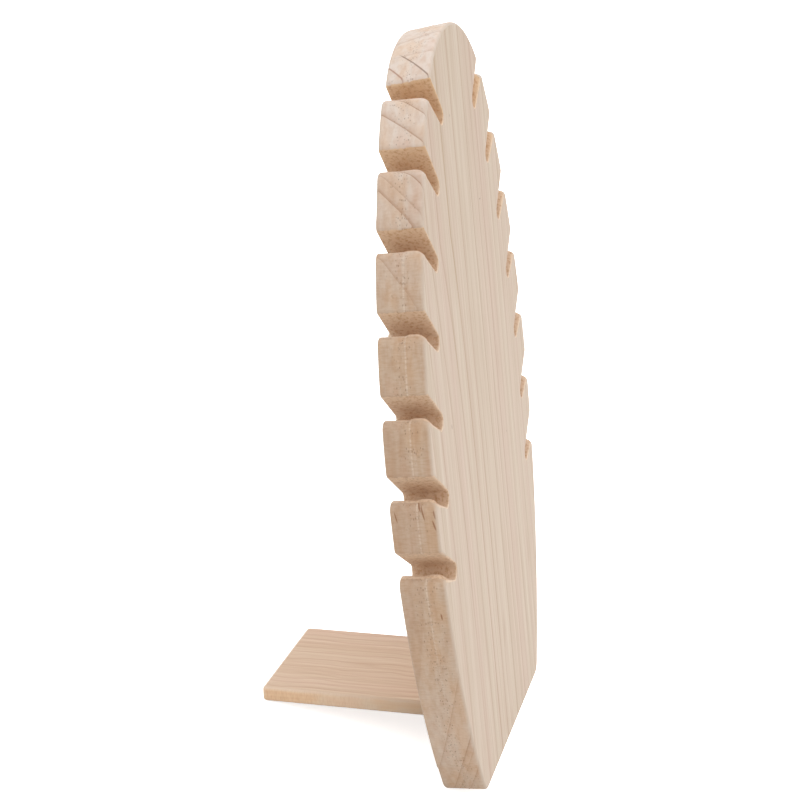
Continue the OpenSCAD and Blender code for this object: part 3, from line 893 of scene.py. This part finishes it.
def screws(spots, into):
    """Like screws, driven in at those spots."""
    bm = bmesh.new()
    turned = into.to_track_quat("Z", "Y").to_matrix().to_4x4()
    for spot in spots:
        one = screw()
        bmesh.ops.transform(one, matrix=Matrix.Translation(spot) @ turned, verts=one.verts[:])
        part = bpy.data.meshes.new("screw")
        one.to_mesh(part)
        one.free()
        bm.from_mesh(part)
        bpy.data.meshes.remove(part)
    return bm


def zinc_plate(name):
    """Zinc-plated steel: a soft, slightly blue-grey gleam with faint cloudy patches,
    1.4 mm across."""
    material, tree = look(name)
    where = add(tree, "TexCoord").outputs["Object"]
    cloud = add(tree, "TexNoise", {"Vector": where, "Scale": 700.0, "Detail": 2.0})
    tone = add(tree, "ValToRGB", {0: cloud}, stops=[(0.3, "#A9ABAA"), (0.7, "#C6C6C0")])
    dull = add(tree, "MapRange", (cloud, 0.0, 1.0, 0.28, 0.42))
    shader = add(tree, "BsdfPrincipled", {"Base Color": tone, "Metallic": 1.0,
                                          "Roughness": dull})
    add(tree, "OutputMaterial", {"Surface": shader})
    return material


zinc = zinc_plate("zinc-plated steel")
piece("upright_screw_set", screws(head_spots, -REARWARD), "upright_screws", "zinc_screw", zinc)
piece("foot_screw_set", screws(sole_spots, FOOT_UP), "foot_screws", "zinc_screw", zinc)

# ---- Table, light and camera ----
# A white sweep under soft studio light: an even dome, brighter overhead, and one large
# lamp in front. The surround is white to the camera wherever no shadow falls.
# The table's half width in metres and the light that it adds where it is seen, and the
# dome's strength at the horizon and overhead
TABLE_REACH, TABLE_LIFT = 40, 0.7
HORIZON_GLOW, OVERHEAD_GLOW = 0.7, 1.42


def seen_rays(tree):
    """1 for what the camera, a reflection or a clear material looks at, else 0."""
    path = add(tree, "LightPath")
    seen = add(tree, "Math", (path.outputs["Is Camera Ray"], path.outputs["Is Glossy Ray"]),
               operation="MAXIMUM")
    return add(tree, "Math", (seen, path.outputs["Is Transmission Ray"]), operation="MAXIMUM")


def backdrop(name, shade):
    """White where it is seen, duller in the light that it sends back to the stand."""
    material, tree = look(name)
    matt = add(tree, "BsdfDiffuse", {"Color": shade})
    white = add(tree, "BsdfDiffuse", {"Color": "#FFFFFF"})
    lift = add(tree, "Emission", {"Color": "#FFFFFF", "Strength": TABLE_LIFT})
    bright = add(tree, "AddShader", (white, lift))
    mixed = add(tree, "MixShader", (seen_rays(tree), matt, bright))
    add(tree, "OutputMaterial", {"Surface": mixed})
    return material


table_bm = bmesh.new()
bmesh.ops.create_grid(table_bm, x_segments=1, y_segments=1, size=TABLE_REACH)
table_mesh = bpy.data.meshes.new("table")
table_bm.to_mesh(table_mesh)
table_bm.free()
table_mesh.materials.append(backdrop("matt white table", "#DAD9D7"))
table = bpy.data.objects.new("table", table_mesh)
bpy.context.collection.objects.link(table)

world = bpy.data.worlds.new("pale dome")
bpy.context.scene.world = world
world.use_nodes = True
tree = world.node_tree
tree.nodes.clear()
direction = add(tree, "TexCoord").outputs["Generated"]
overhead = add(tree, "SeparateXYZ", (direction,)).outputs["Z"]
glow = add(tree, "MapRange", (overhead, 0.0, 1.0, HORIZON_GLOW, OVERHEAD_GLOW))
strength = add(tree, "Mix", {0: seen_rays(tree), 2: glow, 3: 1.0}, data_type="FLOAT")
surround = add(tree, "Background", {"Color": "#FFFFFF", "Strength": strength})
add(tree, "OutputWorld", {"Surface": surround})

# The lamp's place, aim and width are in metres and its power is in watts.
LAMP_AT, LAMP_AIM = Vector((0.7, -1.6, 1.3)), Vector((0, 0, 0.15))
LAMP_SIZE, LAMP_POWER = 1.2, 3
light = bpy.data.lights.new("front lamp", "AREA")
light.size = LAMP_SIZE
light.energy = LAMP_POWER
lamp = bpy.data.objects.new("front lamp", light)
lamp.location = LAMP_AT
lamp.rotation_euler = (LAMP_AIM - LAMP_AT).to_track_quat("-Z", "Y").to_euler()
bpy.context.collection.objects.link(lamp)

# The lens is in millimetres on a 36 mm sensor; the rest is in degrees and metres.
AZIMUTH, ELEVATION, ROLL, LENS = -78.63, 18.88, 11.02, 72.78
AIM, DISTANCE = Vector((-0.00754, 0.02306, 0.14167)), 0.67765
camera_data = bpy.data.cameras.new("camera")
camera_data.lens = LENS
camera_data.sensor_width = 36
camera = bpy.data.objects.new("camera", camera_data)
looking = (Matrix.Rotation(radians(AZIMUTH), 4, "Z")
           @ Matrix.Rotation(radians(90 - ELEVATION), 4, "X")
           @ Matrix.Rotation(radians(ROLL), 4, "Z"))
camera.matrix_world = (Matrix.Translation(AIM) @ looking
                       @ Matrix.Translation((0, 0, DISTANCE)))
bpy.context.collection.objects.link(camera)
bpy.context.scene.camera = camera
